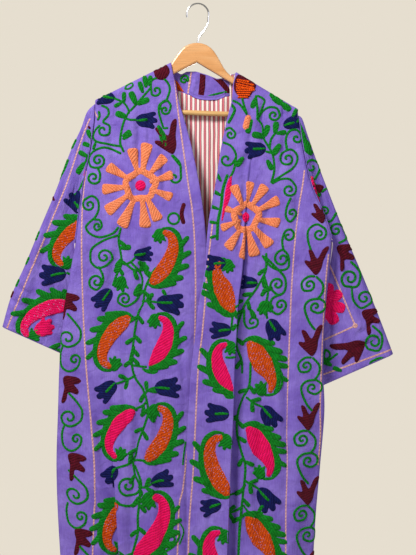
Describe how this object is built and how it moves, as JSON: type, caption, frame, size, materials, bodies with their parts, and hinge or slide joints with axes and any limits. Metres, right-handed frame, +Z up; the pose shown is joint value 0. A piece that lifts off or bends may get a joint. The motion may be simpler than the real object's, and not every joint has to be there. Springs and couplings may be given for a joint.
{
  "type": "long embroidered jacket on a wooden hanger",
  "caption": "Long open jacket of lined cotton with chain stitch flowers, paisleys and scrolling vines, wide sleeves and a striped lining, hanging on a flat wooden hanger.",
  "frame": {"origin": "inner top of the hanger's hook, where it rests on a rail", "axes": "+X to the right as seen from the front, +Y from the front to the back, +Z up"},
  "size_m": [0.8901, 0.11, 1.3337],
  "materials": {
    "cotton": "matte",
    "lining": "matte",
    "hanger_wood": "satin",
    "hook_wire": "polished"
  },
  "bodies": {
    "root": {"back": "cotton", "front_left": "cotton", "front_right": "cotton", "sleeve_left": "cotton", "sleeve_right": "cotton", "neck_facing": "cotton", "hanging_loop": "cotton", "back_lining": "lining", "hanger_body": "hanger_wood", "hanger_bar": "hanger_wood", "hanger_hook": "hook_wire"}
  },
  "joints": []
}
